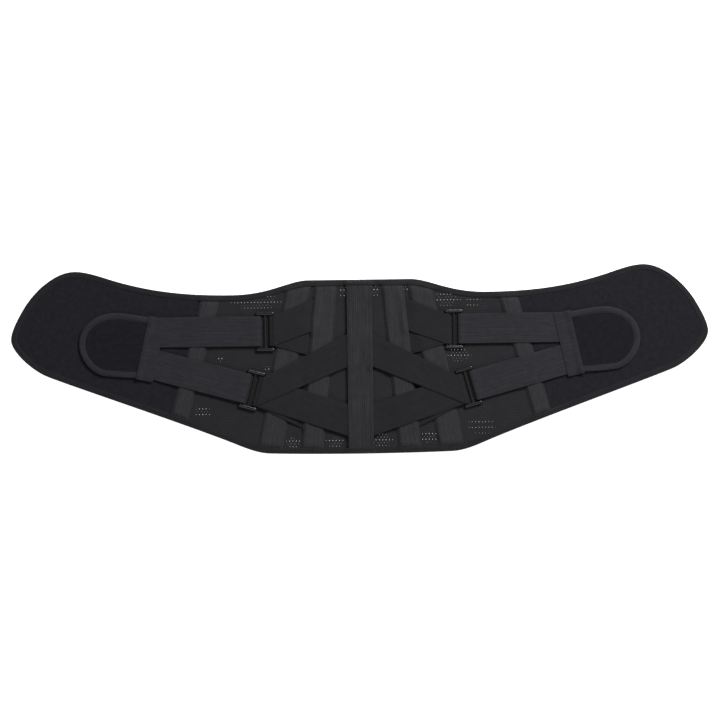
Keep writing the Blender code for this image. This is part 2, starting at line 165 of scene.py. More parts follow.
# The cross strip that holds the elastic ends, and the pull tab beyond it.
STRIP_MIDDLE = (270.0 * MM, 18.7 * MM)
STRIP_LEAN = math.radians(12.5)
STRIP_SIZE = (22 * MM, 83.5 * MM)
STRIP_THICKNESS = 1.0 * MM
STRIP_SEAM_OFFSET = 8.5 * MM
UNDERLAY_THICKNESS = 0.7 * MM
ELASTIC_INSIDE_STRIP = 14 * MM
TURNED_BACK_ELASTIC = 44 * MM

# The elastic's first length from the slider's outer bar, and two distances along it from that bar.
TURN_LENGTH = 50 * MM
TURN_BLEND = (2 * MM, 48 * MM)

TAB_BLEND_WIDTH = 10 * MM
TAB_RIM_WIDTH = 8 * MM
TAB_HOOK_Z = (4.75 * MM, 5.5 * MM)
TAB_PAD_Z = (5.6 * MM, 7.9 * MM)
TAB_TUCK = 5.5 * MM

# How much of the way each strap is pulled straight between the high points that it rests on.
WEBBING_TENSION = 0.75
ELASTIC_TENSION = 0.85
ELASTIC_RIB_PITCH = 1.9 * MM

HOLE_PITCH = (4.3 * MM, 3.6 * MM)
HOLE_RADIUS = 0.48 * MM
# Every second row's holes have this share of the radius, and a hole under the least radius is closed.
FAINT_ROW = 0.48
LEAST_HOLE = 0.2 * MM
CLOSED_RADIUS = 0.7 * MM
DIMPLE_RADIUS = 1.15 * MM
HOLE_ASPECT = 0.92

# Where light shows through the mesh: x, y, half width and half height in mm, then how open the holes are.
OPEN_AREAS = (
    (21, 92, 8, 12, 1),
    (62, 94, 7, 9, 1),
    (114, 79, 22, 12, 1),
    (147, 74, 13, 12, 0.85),
    (128, 6, 20, 10, 1),
    (27, -103, 19, 10, 1),
    (88, -99.5, 15, 11, 1),
    (156, -86, 24, 14, 0.8),
    (-21, 91.5, 8, 11, 1),
    (-133, 78, 42, 12, 0.9),
    (-118, -7, 8, 5, 1),
    (-181, 5, 7, 6, 1),
    (-33, -104, 16, 9, 1),
    (-88, -104, 12, 9, 1),
    (-204, -64, 14, 9, 1),
)
STITCH_PITCH = 3.2 * MM
STITCH_LENGTH = 2.3 * MM
STITCH_RADIUS = 0.32 * MM


# ---- outlines in plan


def heading(degrees):
    return Vector((math.cos(math.radians(degrees)), math.sin(math.radians(degrees))))


def knots_to_points(knots):
    """Points along the Bezier curve through the knots, in metres."""
    points = []
    for before, after in zip(knots, knots[1:]):
        start = Vector(before[:2]) * MM
        end = Vector(after[:2]) * MM
        arc = interpolate_bezier(
            start, start + heading(before[2]) * before[4] * MM,
            end - heading(after[2]) * after[3] * MM, end, POINTS_PER_ARC,
        )
        points += [(p[0], p[1]) for p in arc[:-1]]
    points.append((knots[-1][0] * MM, knots[-1][1] * MM))
    return np.array(points)


def tangents(points, closed):
    if closed:
        along = np.roll(points, -1, axis=0) - np.roll(points, 1, axis=0)
    else:
        along = np.gradient(points, axis=0)
    return along / np.linalg.norm(along, axis=1)[:, None]


def inward(points, closed=False):
    """The direction to the right of a path, which is inwards on a clockwise outline."""
    along = tangents(points, closed)
    return np.stack([along[:, 1], -along[:, 0]], axis=1)


def inset(points, distance, closed=True):
    """A clockwise outline moved inwards by the distance."""
    return points + inward(points, closed) * distance


def directions(angle, side):
    """Unit vectors: away from the belt's middle at an angle, and square to that towards the top."""
    outward = np.array([math.cos(angle) * side, math.sin(angle)])
    upward = np.array([-math.sin(angle) * side, math.cos(angle)])
    return outward, upward


def reach_to(place, direction, line):
    """How far a direction runs from a place to a line: a point on it and the direction across it."""
    point, normal = line
    return (point - place) @ normal / (direction @ normal)


def clockwise(points):
    x, y = points.T
    area = np.sum(x * np.roll(y, -1) - np.roll(x, -1) * y)
    return points[::-1].copy() if area > 0 else points


def swept(points, centre):
    """Points in clockwise order about a centre, starting opposite the direction of x."""
    offset = points - np.array(centre)
    return points[np.argsort(-np.arctan2(offset[:, 1], offset[:, 0]))]


def mirrored(points, side):
    return points * np.array([side, 1.0])


def path_run(points):
    """The distance along a path at each of its points."""
    return np.concatenate([[0], np.cumsum(np.linalg.norm(np.diff(points, axis=0), axis=1))])


def resampled(points, spacing):
    """Points at an even spacing along an open path."""
    run = path_run(points)
    stations = np.linspace(0, run[-1], max(2, round(run[-1] / spacing) + 1))
    return np.stack([np.interp(stations, run, points[:, k]) for k in range(points.shape[1])], axis=1)


HALF_OUTLINE = knots_to_points(OUTLINE_KNOTS)
OUTLINE = np.concatenate([HALF_OUTLINE, mirrored(HALF_OUTLINE, -1)[-2:0:-1]])
TAB_CURVE = knots_to_points(TAB_KNOTS)
TAB_OUTLINE = np.concatenate([
    [TAB_CURVE[0] - np.array(heading(TAB_KNOTS[0][2])) * TAB_TUCK],
    TAB_CURVE,
    [TAB_CURVE[-1] + np.array(heading(TAB_KNOTS[-1][2])) * TAB_TUCK],
])


def inside(polygon, x, y):
    """For arrays of places, whether each lies inside the polygon."""
    found = np.zeros(np.shape(x), bool)
    ends = np.roll(polygon, -1, axis=0)
    for (x0, y0), (x1, y1) in zip(polygon, ends):
        if y0 == y1:
            continue
        crossed = (y0 > y) != (y1 > y)
        found ^= crossed & (x < (x1 - x0) * (y - y0) / (y1 - y0) + x0)
    return found


def edge_distance(polygon, places):
    """Each place's distance to the nearest edge of the polygon."""
    best = np.full(len(places), np.inf)
    ends = np.roll(polygon, -1, axis=0)
    for start, end in zip(polygon, ends):
        run = end - start
        share = np.clip((places - start) @ run / max(run @ run, 1e-18), 0, 1)
        best = np.minimum(best, np.linalg.norm(places - start - share[:, None] * run, axis=1))
    return best


def line_reach(point, direction, polygon):
    """How far the line runs each way from the point before it leaves the polygon."""
    normal = np.array([-direction[1], direction[0]])
    offset = (polygon - point) @ normal
    following = np.roll(offset, -1)
    ends = np.roll(polygon, -1, axis=0)
    hits = np.nonzero((offset > 0) != (following > 0))[0]
    share = offset[hits] / (offset[hits] - following[hits])
    places = polygon[hits] + (ends[hits] - polygon[hits]) * share[:, None]
    runs = (places - point) @ direction
    return runs[runs < 0].max(), runs[runs > 0].min()


def raised(plan, height):
    """Places in plan with their heights."""
    return np.concatenate([plan, np.broadcast_to(height, plan.shape[:-1])[..., None]], axis=-1)


def eased(share):
    """A share from 0 to 1, cut off at both and eased in and out."""
    share = np.clip(share, 0, 1)
    return share * share * (3 - 2 * share)


def rounded(share):
    """A quarter circle's height as the share goes from 0 to 1."""
    return np.sqrt(1 - (1 - np.clip(share, 0, 1)) ** 2)


def ridge(places, middle, spread):
    """A soft ridge of height 1 at the middle."""
    return np.exp(-(((places - middle) / spread) ** 2))


# ---- the stack of layers


class Stack:
    """The height of what has been laid so far, on a grid of places over the belt."""

    step = 1.0 * MM

    def __init__(self):
        self.x = np.arange(-460, 461) * self.step
        self.y = np.arange(-130, 131) * self.step
        self.grid_x, self.grid_y = np.meshgrid(self.x, self.y)
        self.top = np.zeros(self.grid_x.shape)

    def cover(self, polygon, height):
        """Raises the inside of a polygon to a height."""
        mask = inside(polygon, self.grid_x, self.grid_y)
        self.top[mask] = np.maximum(self.top[mask], height)

    def press(self, surface):
        """Raises the grid to a structured surface of points, given as rows by columns by 3."""
        fine = surface
        for axis in (0, 1):
            spacing = np.linalg.norm(np.diff(fine[..., :2], axis=axis), axis=-1).max()
            parts = max(1, math.ceil(spacing / (0.6 * self.step)))
            count = (fine.shape[axis] - 1) * parts + 1
            place = np.linspace(0, fine.shape[axis] - 1, count)
            low = np.minimum(place.astype(int), fine.shape[axis] - 2)
            share = (place - low).reshape([-1, 1, 1] if axis == 0 else [1, -1, 1])
            fine = np.take(fine, low, axis) * (1 - share) + np.take(fine, low + 1, axis) * share
        column = np.clip(np.round((fine[..., 0] - self.x[0]) / self.step).astype(int), 0, len(self.x) - 1)
        row = np.clip(np.round((fine[..., 1] - self.y[0]) / self.step).astype(int), 0, len(self.y) - 1)
        np.maximum.at(self.top, (row, column), fine[..., 2])

    def bed(self, polygon, reach, soften):
        """The height that a cloth of this outline rests at; reach and soften are in grid steps."""
        mask = inside(polygon, self.grid_x, self.grid_y)
        height = np.where(mask, self.top, 0)
        for axis in (0, 1):
            base = height.copy()
            for shift in range(1, reach + 1):
                height = np.maximum(height, np.roll(base, shift, axis))
                height = np.maximum(height, np.roll(base, -shift, axis))
        weight = mask.astype(float)
        height = height * weight
        taps = np.arange(-int(3 * soften), int(3 * soften) + 1)
        kernel = np.exp(-0.5 * (taps / soften) ** 2)
        for axis in (0, 1):
            height = sum(k * np.roll(height, t, axis) for k, t in zip(kernel, taps))
            weight = sum(k * np.roll(weight, t, axis) for k, t in zip(kernel, taps))
        return height / np.maximum(weight, 1e-9)

    def read(self, field, places):
        """A field's values at places, between the grid's points."""
        fx = np.clip((places[..., 0] - self.x[0]) / self.step, 0, len(self.x) - 1.001)
        fy = np.clip((places[..., 1] - self.y[0]) / self.step, 0, len(self.y) - 1.001)
        column, row = fx.astype(int), fy.astype(int)
        tx, ty = fx - column, fy - row
        low = field[row, column] * (1 - tx) + field[row, column + 1] * tx
        high = field[row + 1, column] * (1 - tx) + field[row + 1, column + 1] * tx
        return low * (1 - ty) + high * ty

    def bed_under(self, plan, reach=3, soften=2.5):
        """The height that a structured patch of cloth rests at, at its own places."""
        return self.read(self.bed(patch_outline(plan), reach, soften), plan)


stack = Stack()


def swell(places):
    """The slight unevenness of a cloth thing laid on a floor, never below zero."""
    x, y = np.clip(places[..., 0], -EVEN_BEYOND, EVEN_BEYOND), places[..., 1]
    wave = (
        np.sin(x * 31 + 0.6) * np.cos(y * 24 + 1.1)
        + 0.6 * np.sin(x * 57 - y * 33 + 2.0)
        + 0.35 * np.sin(x * 12 + y * 71)
    )
    pucker = np.sin(x * 410 + np.sin(y * 63) * 2.1) * np.sin(y * 290 + np.sin(x * 47) * 2.6)
    return SWELL_HEIGHT * (wave + 1.95) + PUCKER_HEIGHT * (pucker + 1)


# ---- meshes


SHARP_ANGLE = math.radians(42)


def smooth(mesh):
    mesh.shade_smooth()
    mesh.set_sharp_from_angle(angle=SHARP_ANGLE)


def linked(name, data):
    obj = bpy.data.objects.new(name, data)
    bpy.context.scene.collection.objects.link(obj)
    return obj


def finished(name, points, faces, coordinates, material, swelling=True):
    """A closed mesh object with its faces pointing out; coordinates are each point's UV, in metres."""
    points = np.asarray(points, float)
    if swelling:
        points = points.copy()
        points[:, 2] += swell(points)
    mesh = bpy.data.meshes.new(name)
    mesh.from_pydata(points.tolist(), [], faces)
    form = bmesh.new()
    form.from_mesh(mesh)
    bmesh.ops.recalc_face_normals(form, faces=form.faces)
    form.to_mesh(mesh)
    form.free()
    corners = np.zeros(len(mesh.loops), np.int32)
    mesh.loops.foreach_get("vertex_index", corners)
    layer = mesh.uv_layers.new(name="metres")
    layer.data.foreach_set("uv", np.asarray(coordinates, np.float32)[corners].ravel())
    mesh.materials.append(material)
    smooth(mesh)
    return linked(name, mesh)


def grid_faces(rows, columns, first=0):
    index = first + np.arange(rows * columns).reshape(rows, columns)
    quads = np.stack([index[:-1, :-1], index[1:, :-1], index[1:, 1:], index[:-1, 1:]], axis=-1)
    return quads.reshape(-1, 4).tolist(), index


def tube_faces(rows, around, first=0):
    """Faces of a closed tube whose points are rows of rings, from the first point's index."""
    index = first + np.arange(rows * around).reshape(rows, around)
    following = np.roll(index, -1, axis=1)
    quads = np.stack([index[:-1], following[:-1], following[1:], index[1:]], axis=-1)
    return quads.reshape(-1, 4).tolist() + [index[0, ::-1].tolist(), index[-1].tolist()]


def circle(count):
    """Cosine and sine at even steps round a circle."""
    angle = np.arange(count) * 2 * math.pi / count
    return np.column_stack([np.cos(angle), np.sin(angle)])


def strap(name, mid, above, below, material, lay=True):
    """A closed strap about a structured middle surface; above and below are its half thicknesses."""
    rows, columns = mid.shape[:2]
    normal = np.cross(np.gradient(mid, axis=0), np.gradient(mid, axis=1))
    normal /= np.linalg.norm(normal, axis=-1)[..., None]
    if normal[0, :, 2].mean() < 0:
        normal = -normal
    upper = mid + normal * np.broadcast_to(above, (rows, columns))[..., None]
    lower = mid - normal * np.broadcast_to(below, (rows, columns))[..., None]
    if lay:
        stack.press(upper)
    faces, top = grid_faces(rows, columns)
    under_faces, under = grid_faces(rows, columns, rows * columns)
    faces += under_faces
    for edge in (np.s_[:, 0], np.s_[:, -1], np.s_[0], np.s_[-1]):
        a, b = top[edge], under[edge]
        faces += np.stack([a[:-1], a[1:], b[1:], b[:-1]], axis=-1).tolist()
    run = np.cumsum(np.linalg.norm(np.diff(mid, axis=0, prepend=mid[:1]), axis=-1), axis=0)
    width = np.cumsum(np.linalg.norm(np.diff(mid, axis=1, prepend=mid[:, :1]), axis=-1), axis=1)
    width -= width[:, -1:] / 2
    uv = np.stack([run, width], axis=-1).reshape(-1, 2)
    points = np.concatenate([upper.reshape(-1, 3), lower.reshape(-1, 3)])
    return finished(name, points, faces, np.concatenate([uv, uv]), material)


def across_stations(width, count):
    """Places across a strap, closer together at its edges, from minus to plus half its width."""
    inner = np.linspace(-width / 2 + EDGE_ROUNDING, width / 2 - EDGE_ROUNDING, count)
    rim = np.array([0, 0.2, 0.55]) * EDGE_ROUNDING
    return np.concatenate([-width / 2 + rim, inner, width / 2 - rim[::-1]])


def edge_profile(stations, width):
    """Share of the full thickness at each place across a strap, rounded off at both edges."""
    return EDGE_SHARE + (1 - EDGE_SHARE) * rounded((width / 2 - np.abs(stations)) / EDGE_ROUNDING)


def plan_patch(corners, stations, width):
    """Places over a four-cornered strap: corners are start low, start high, end low, end high."""
    low0, high0, low1, high1 = [np.asarray(c, float) for c in corners]
    length = np.linalg.norm((low1 + high1 - low0 - high0) / 2)
    u = np.linspace(0, 1, max(3, round(length / SPACING_ALONG) + 1))[:, None, None]
    v = (stations / width + 0.5)[None, :, None]
    return (1 - u) * ((1 - v) * low0 + v * high0) + u * ((1 - v) * low1 + v * high1)


def patch_outline(plan):
    ring = [plan[:, 0], plan[-1, 1:], plan[-2::-1, -1], plan[0, -2:0:-1]]
    return np.concatenate(ring)


def cloth_plate(name, outline, heights, material, edge, spacing=3 * MM, dome=0.0, relief=None):
    """A padded flat piece: rounded rim, its face lifted towards the middle by dome."""
    rim = resampled(np.concatenate([outline, outline[:1]]), spacing)[:-1]
    rings = [rim, inset(rim, edge * 0.15), inset(rim, edge * 0.5), inset(rim, edge)]
    low, high = outline.min(axis=0), outline.max(axis=0)
    columns = np.arange(low[0], high[0], spacing)
    rows = np.arange(low[1], high[1], spacing * 0.87)
    gx, gy = np.meshgrid(columns, rows)
    gx[1::2] += spacing / 2
    inner = np.stack([gx.ravel(), gy.ravel()], axis=1)
    inner = inner[inside(outline, inner[:, 0], inner[:, 1])]
    inner = inner[edge_distance(rim, inner) > edge + 0.4 * spacing]
    places = np.concatenate(rings + [inner])
    count = len(rim)
    edges = [(i, (i + 1) % count) for i in range(count)]
    result = delaunay_2d_cdt([Vector(p) for p in places], edges, [], 1, 1e-7)
    flat = np.array([tuple(v) for v in result[0]])
    triangles = [tuple(f) for f in result[2]]
    distance = edge_distance(rim, flat)
    on_rim = distance < 1e-6
    share = rounded(distance / edge)
    middle = sum(heights) / 2
    half = (heights[1] - heights[0]) / 2
    upper_z = middle + half * share + dome * (1 - np.exp(-distance / (10 * MM)))
    if relief is not None:
        upper_z = upper_z + relief(flat) * share
    lower_z = middle - half * share
    upper = np.column_stack([flat, upper_z])
    lower_index = np.full(len(flat), -1)
    lower_index[~on_rim] = len(flat) + np.arange((~on_rim).sum())
    lower_index[on_rim] = np.nonzero(on_rim)[0]
    lower = np.column_stack([flat, lower_z])[~on_rim]
    faces = triangles + [tuple(int(lower_index[i]) for i in reversed(t)) for t in triangles]
    points = np.concatenate([upper, lower])
    return finished(name, points, faces, points[:, :2], material)


def joined(first, *others):
    """Adds the other objects' meshes to the first object."""
    form = bmesh.new()
    form.from_mesh(first.data)
    for other in others:
        form.from_mesh(other.data)
        bpy.data.objects.remove(other)
    form.to_mesh(first.data)
    form.free()
    smooth(first.data)
    return first


# ---- materials


TONE_RANGE = 0.6


class Look:
    """A material's node tree and shader while its pattern is made."""

    def __init__(self, name, colour, roughness, metallic=0.0, sheen=0.0, specular=0.5):
        self.colour = colour
        self.material = bpy.data.materials.new(name)
        self.material.use_nodes = True
        self.tree = self.material.node_tree
        self.shader = self.tree.nodes["Principled BSDF"]
        for key, value in (
            ("Base Color", (*colour, 1)), ("Roughness", roughness), ("Metallic", metallic),
            ("Sheen Weight", sheen), ("Sheen Roughness", 0.5), ("Specular IOR Level", specular),
        ):
            self.shader.inputs[key].default_value = value

    def node(self, kind, output, inputs=None, **settings):
        """A new node's output; each input is a value or another node's output."""
        made = self.tree.nodes.new(kind)
        for key, value in settings.items():
            setattr(made, key, value)
        for key, value in (inputs or {}).items():
            if isinstance(value, bpy.types.NodeSocket):
                self.tree.links.new(value, made.inputs[key])
            else:
                made.inputs[key].default_value = value
        return made.outputs[output]

    def feed(self, key, value):
        self.tree.links.new(value, self.shader.inputs[key])

    def plane(self, turn=0.0, scale=(1, 1, 1)):
        """Coordinates in metres on the cloth, turned and scaled."""
        uv = self.node("ShaderNodeUVMap", "UV", uv_map="metres")
        inputs = {"Vector": uv, "Rotation": (0, 0, turn), "Scale": scale}
        return self.node("ShaderNodeMapping", "Vector", inputs)

    def noise(self, coordinates, scale, detail=3.0, roughness=0.6):
        inputs = {"Vector": coordinates, "Scale": scale, "Detail": detail, "Roughness": roughness}
        return self.node("ShaderNodeTexNoise", "Fac", inputs)

    def streaks(self):
        """Uneven bands that run along the cloth."""
        return self.noise(self.plane(0, (1 / 14, 1, 1)), 1 / (3.2 * MM), 3, 0.55)

    def waves(self, coordinates, pitch, direction="X"):
        """Even ridges, one every pitch."""
        return self.node(
            "ShaderNodeTexWave", "Fac",
            {"Vector": coordinates, "Scale": 2 * math.pi / (20 * pitch), "Distortion": 0.0},
            wave_type="BANDS", bands_direction=direction, wave_profile="SIN",
        )

    def cells(self, coordinates, scale, randomness=1.0):
        inputs = {"Vector": coordinates, "Scale": scale, "Randomness": randomness}
        return self.node("ShaderNodeTexVoronoi", "Distance", inputs, feature="F1")

    def total(self, *parts):
        """The sum of patterns, each times its weight."""
        result = 0.0
        for pattern, weight in parts:
            inputs = {0: pattern, 1: weight, 2: result}
            result = self.node("ShaderNodeMath", 0, inputs, operation="MULTIPLY_ADD")
        return result

    def tone(self, factor, spread):
        """Base colour from darker to lighter than the look's own; a larger spread makes it react more."""
        reach = 0.3 / spread
        inputs = {"Value": factor, "From Min": 0.5 - reach, "From Max": 0.5 + reach}
        share = self.node("ShaderNodeMapRange", "Result", inputs)
        darker, lighter = ((*(c * k for c in self.colour), 1) for k in (1 - TONE_RANGE, 1 + TONE_RANGE))
        inputs = {"Factor": share, "A": darker, "B": lighter}
        self.feed("Base Color", self.node("ShaderNodeMix", "Result", inputs, data_type="RGBA"))

    def bump(self, height, distance, strength):
        inputs = {"Height": height, "Distance": distance, "Strength": strength}
        self.feed("Normal", self.node("ShaderNodeBump", "Normal", inputs))


def loop_pile(name, colour, sheen=0.08):
    """Brushed loop knit: a short pile with a slanting grain and uneven patches."""
    look = Look(name, colour, 0.95, sheen=sheen, specular=0.15)
    grain = look.noise(look.plane(math.radians(35), (1, 3.2, 1)), 420, 4, 0.7)
    patches = look.noise(look.plane(), 150, 4)
    pile = look.noise(look.plane(), 1500, 2)
    look.tone(look.total((grain, 0.62), (patches, 0.38)), 1.6)
    look.bump(look.total((grain, 1), (pile, 0.6)), 0.5 * MM, 0.7)
    return look.material


def ribbed(name, colour, pitch, spread=1.3, depth=0.25 * MM, ribs=0.2):
    """Woven tape with ridges along its length and fine picks across it."""
    look = Look(name, colour, 0.85, sheen=0.05, specular=0.2)
    ridges = look.waves(look.plane(), pitch, "Y")
    picks = look.waves(look.plane(), 0.7 * MM)
    yarn = look.noise(look.plane(0, (1, 6, 1)), 260)
    wear = look.noise(look.plane(), 110, 4)
    rest = 0.3 - ribs / 2
    look.tone(look.total((ridges, ribs), (yarn, rest), (wear, rest), (look.streaks(), 0.4)), spread)
    look.bump(look.total((ridges, 1), (picks, 0.3), (yarn, 0.3)), depth, 0.8)
    return look.material


def twill(name, colour):
    """Flat webbing: slanting floats that change hand in bands along its length."""
    look = Look(name, colour, 0.82, sheen=0.04, specular=0.2)
    hands = [look.waves(look.plane(math.radians(turn)), 1.3 * MM) for turn in (55, -55)]
    bands = look.waves(look.plane(), 6.5 * MM, "Y")
    which = look.node("ShaderNodeMath", 0, {0: bands, 1: 0.5}, operation="GREATER_THAN")
    inputs = {"Factor": which, "A": hands[0], "B": hands[1]}
    floats = look.node("ShaderNodeMix", "Result", inputs, data_type="FLOAT")
    yarn = look.noise(look.plane(), 300)
    wear = look.noise(look.plane(), 110, 4)
    look.tone(look.total((floats, 0.2), (yarn, 0.25), (wear, 0.25), (look.streaks(), 0.3)), 1.0)
    look.bump(look.total((floats, 1), (yarn, 0.4)), 0.2 * MM, 0.7)
    return look.material


def knit(name, colour):
    """Spacer mesh yarn: small rounded stitches between the holes."""
    look = Look(name, colour, 0.9, sheen=0.04, specular=0.2)
    cells = look.cells(look.plane(0, (1, 1.6, 1)), 950)
    look.tone(look.total((cells, 0.5), (look.noise(look.plane(), 60), 0.5)), 0.4)
    return look.material


def moulded(name, colour):
    """Glossy moulded plastic with a faint unevenness and fine scuffs."""
    look = Look(name, colour, 0.25, specular=0.65)
    scuffs = look.noise(look.node("ShaderNodeTexCoord", "Object"), 900, 5, 0.7)
    inputs = {"Value": scuffs, "To Min": 0.16, "To Max": 0.34}
    look.feed("Roughness", look.node("ShaderNodeMapRange", "Result", inputs))
    look.tone(scuffs, 0.25)
    look.bump(scuffs, 0.05 * MM, 0.3)
    return look.material


def hook_field(name, colour):
    """Hook tape: rows of small stiff hooks."""
    look = Look(name, colour, 0.8, specular=0.2)
    hooks = look.cells(look.plane(), 650, 0.35)
    look.tone(hooks, 0.6)
    return look.material


def brushed_steel(name, colour):
    look = Look(name, colour, 0.35, metallic=1.0)
    inputs = {"Vector": look.node("ShaderNodeTexCoord", "Object"), "Scale": (40, 1, 1)}
    scratches = look.noise(look.node("ShaderNodeMapping", "Vector", inputs), 60, 4, 0.7)
    look.tone(scratches, 0.2)
    look.bump(scratches, 0.05 * MM, 0.4)
    return look.material


WING_FABRIC = loop_pile("wing_loop_pile", (0.0112, 0.0103, 0.0138))
TAB_FABRIC = loop_pile("tab_loop_pile", (0.0085, 0.0078, 0.0110), 0.04)
MESH_FABRIC = knit("spacer_mesh", (0.0160, 0.0153, 0.0172))
BINDING_TAPE = ribbed("binding_tape", (0.0128, 0.0120, 0.0147), 1.1 * MM)
TAB_TAPE = ribbed("tab_tape", (0.0200, 0.0188, 0.0238), 1.1 * MM)
POCKET_TAPE = ribbed("pocket_tape", (0.0245, 0.0236, 0.0262), 1.6 * MM)
CENTRE_TAPE = ribbed("centre_tape", (0.0210, 0.0202, 0.0232), CENTRE_RIB_PITCH, 1.4)
WEBBING = twill("flat_webbing", (0.0114, 0.0109, 0.0136))
ELASTIC = ribbed(
    "ribbed_elastic", (0.0188, 0.0178, 0.0220), ELASTIC_RIB_PITCH, depth=0.14 * MM, ribs=0.08,
)
THREAD = ribbed("sewing_thread", (0.019, 0.0182, 0.0215), 0.3 * MM)
PLASTIC = moulded("buckle_plastic", (0.006, 0.006, 0.007))
HOOK_TAPE = hook_field("hook_tape", (0.010, 0.010, 0.011))
STAY_STEEL = brushed_steel("stay_steel", (0.42, 0.42, 0.44))


# ---- frames of the wing's fold and the cross strip, and the bodies that pieces hang from


def fold_frame(side):
    """A point on the wing's fold and the direction across it, away from the belt's middle."""
    x, lean, _ = POCKETS["side"]
    outward, _ = directions(lean, side)
    return np.array([x * side, 0]) + outward * FOLD_OFFSET, outward


def strip_frame(side):
    """The cross strip's middle, the direction across it, away from the belt's middle, and along it."""
    return mirrored(STRIP_MIDDLE, side), *directions(STRIP_LEAN, side)


def blended(obj, bodies, point, direction, reaches):
    """Bakes the object's transform and works out the places at two distances from a point; the bodies are
    not used and nothing is blended.
    """
    start, end = (Vector((*(point + direction * reach), 0)) for reach in reaches)
    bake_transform(obj)
    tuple(start)
    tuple(end)


def bend_with_wing(obj, name):
    blended(obj, ("back", name + "_wing"), *fold_frame(SIDES[name]), (0, FOLD_WIDTH))


def bend_with_tab(obj, name):
    middle, across, _ = strip_frame(SIDES[name])
    edge = STRIP_SIZE[0] / 2 + 0.3 * MM
    blended(obj, (name + "_pull", name + "_tab"), middle, across, (edge, edge + TAB_BLEND_WIDTH))


def standing_for(obj, slot, *nodes):
    """Hides the CAD nodes that an object takes the place of; its material slot is not used."""
    if nodes:
        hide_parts(*nodes)


def fixed(obj, body, slot, *nodes):
    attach(obj, body)
    standing_for(obj, slot, *nodes)


# ---- panels


def hole_openness(places):
    """How open the mesh's holes are at each place, from 0 to 1."""
    share = np.zeros(len(places))
    for *area, openness in OPEN_AREAS:
        x, y, half_width, half_height = (value * MM for value in area)
        apart = ((places[:, 0] - x) / half_width) ** 2 + ((places[:, 1] - y) / half_height) ** 2
        share = np.maximum(share, openness * np.clip(1.5 * (1 - apart), 0, 1))
    return share


def past_side_pocket(places, side):
    """How far outside the side pocket's centre line each place lies."""
    x, lean, _ = POCKETS["side"]
    return (places - np.array([x * side, 0])) @ directions(lean, side)[0]


def make_back_mesh():
    """Perforated spacer mesh: staggered cells with a six-sided hole or dimple in each."""
    column, row = np.meshgrid(np.arange(-62, 63), np.arange(-32, 30))
    middles = np.stack([column + 0.5 * (row % 2), row + 0.5], axis=-1) * np.array(HOLE_PITCH)
    keep = inside(inset(OUTLINE, POCKET_TUCK), middles[..., 0], middles[..., 1])
    for side in SIDES.values():
        keep &= past_side_pocket(middles, side) < -1 * MM
    middles, row = middles[keep], row[keep]
    radius = HOLE_RADIUS * hole_openness(middles) * np.where(row % 2, 1.0, FAINT_ROW)
    is_open = radius > LEAST_HOLE
    radius = np.where(is_open, radius, CLOSED_RADIUS)
    corner = np.array([(-0.5, -0.5), (0, -0.5), (0.5, -0.5), (0.5, 0.5), (0, 0.5), (-0.5, 0.5)])
    angle = np.arctan2(corner[:, 1], corner[:, 0])
    ring = np.stack([np.cos(angle), np.sin(angle) * HOLE_ASPECT], axis=1)
    depth = np.where(is_open, 0.8 * MM, 0.45 * MM)[:, None]
    # Six rings of points for each cell: corners, dimple's rim and hole's rim, each above and below.
    rings = []
    for offset, sunk in (
        (corner * np.array(HOLE_PITCH), 0), (ring * DIMPLE_RADIUS, 0), (ring * radius[:, None, None], 1),
    ):
        for z, sign in ((MESH_Z[1], -1), (MESH_Z[0], 1)):
            rings.append(raised(middles[:, None] + offset, z + sign * sunk * depth))
    points = np.stack(rings, axis=1)
    index = np.arange(points[..., 0].size).reshape(points.shape[:3])
    following = np.roll(index, -1, axis=2)
    faces = []
    for outer, inner in ((0, 2), (2, 4), (4, 5), (5, 3), (3, 1)):
        corners = (index[:, outer], following[:, outer], following[:, inner], index[:, inner])
        quads = np.stack(corners, axis=-1)
        faces.append((quads if outer in (0, 2) else quads[is_open]).reshape(-1, 4))
    for closing_ring in (4, 1):
        closed = index[~is_open, closing_ring]
        faces += [closed[:, [0, 1, 2, 5]], closed[:, [2, 3, 4, 5]]]
    # Points at the same place become one, and the cells' outer sides on the panel's border are walled.
    faces = np.concatenate(faces)
    points = points.reshape(-1, 3)
    used = np.unique(faces)
    keys = np.round(points[used] / (0.01 * MM)).astype(np.int64)
    _, first, same_used = np.unique(keys, axis=0, return_index=True, return_inverse=True)
    same = np.zeros(len(points), int)
    same[used] = same_used.ravel()
    points = points[used[first]]
    high_edges, low_edges = (
        same[np.stack([index[:, level], following[:, level]], axis=-1).reshape(-1, 2)] for level in (0, 1)
    )
    sorted_edges = np.sort(high_edges, axis=1)
    _, which, count = np.unique(sorted_edges, axis=0, return_index=True, return_counts=True)
    border = which[count == 1]
    walls = np.concatenate([high_edges[border], low_edges[border][:, ::-1]], axis=1)
    faces = np.concatenate([same[faces], walls]).tolist()
    panel = finished("back_mesh", points, faces, points[:, :2], MESH_FABRIC)
    stack.cover(inset(OUTLINE, 1.5 * MM), MESH_Z[1])
    fixed(panel, "back", "mesh_fabric", "back_mesh_panel")


def wing_outline(side):
    """The wing's cloth, from under the side pocket out to the binding."""
    kept = inset(OUTLINE, 1.3 * MM)[past_side_pocket(OUTLINE, side) > 1.5 * MM]
    kept = swept(kept, (330 * MM * side, 20 * MM))
    start = np.argmax(np.linalg.norm(kept - np.roll(kept, 1, axis=0), axis=1))
    return np.roll(kept, -start, axis=0)


def wing_relief(places):
    """Faint slow ripples in the wing's padding."""
    x, y = np.abs(places[:, 0]), places[:, 1]
    return 0.1 * MM * np.sin(x * 95 + y * 28) * np.sin(y * 47 + x * 11 + 1.3)


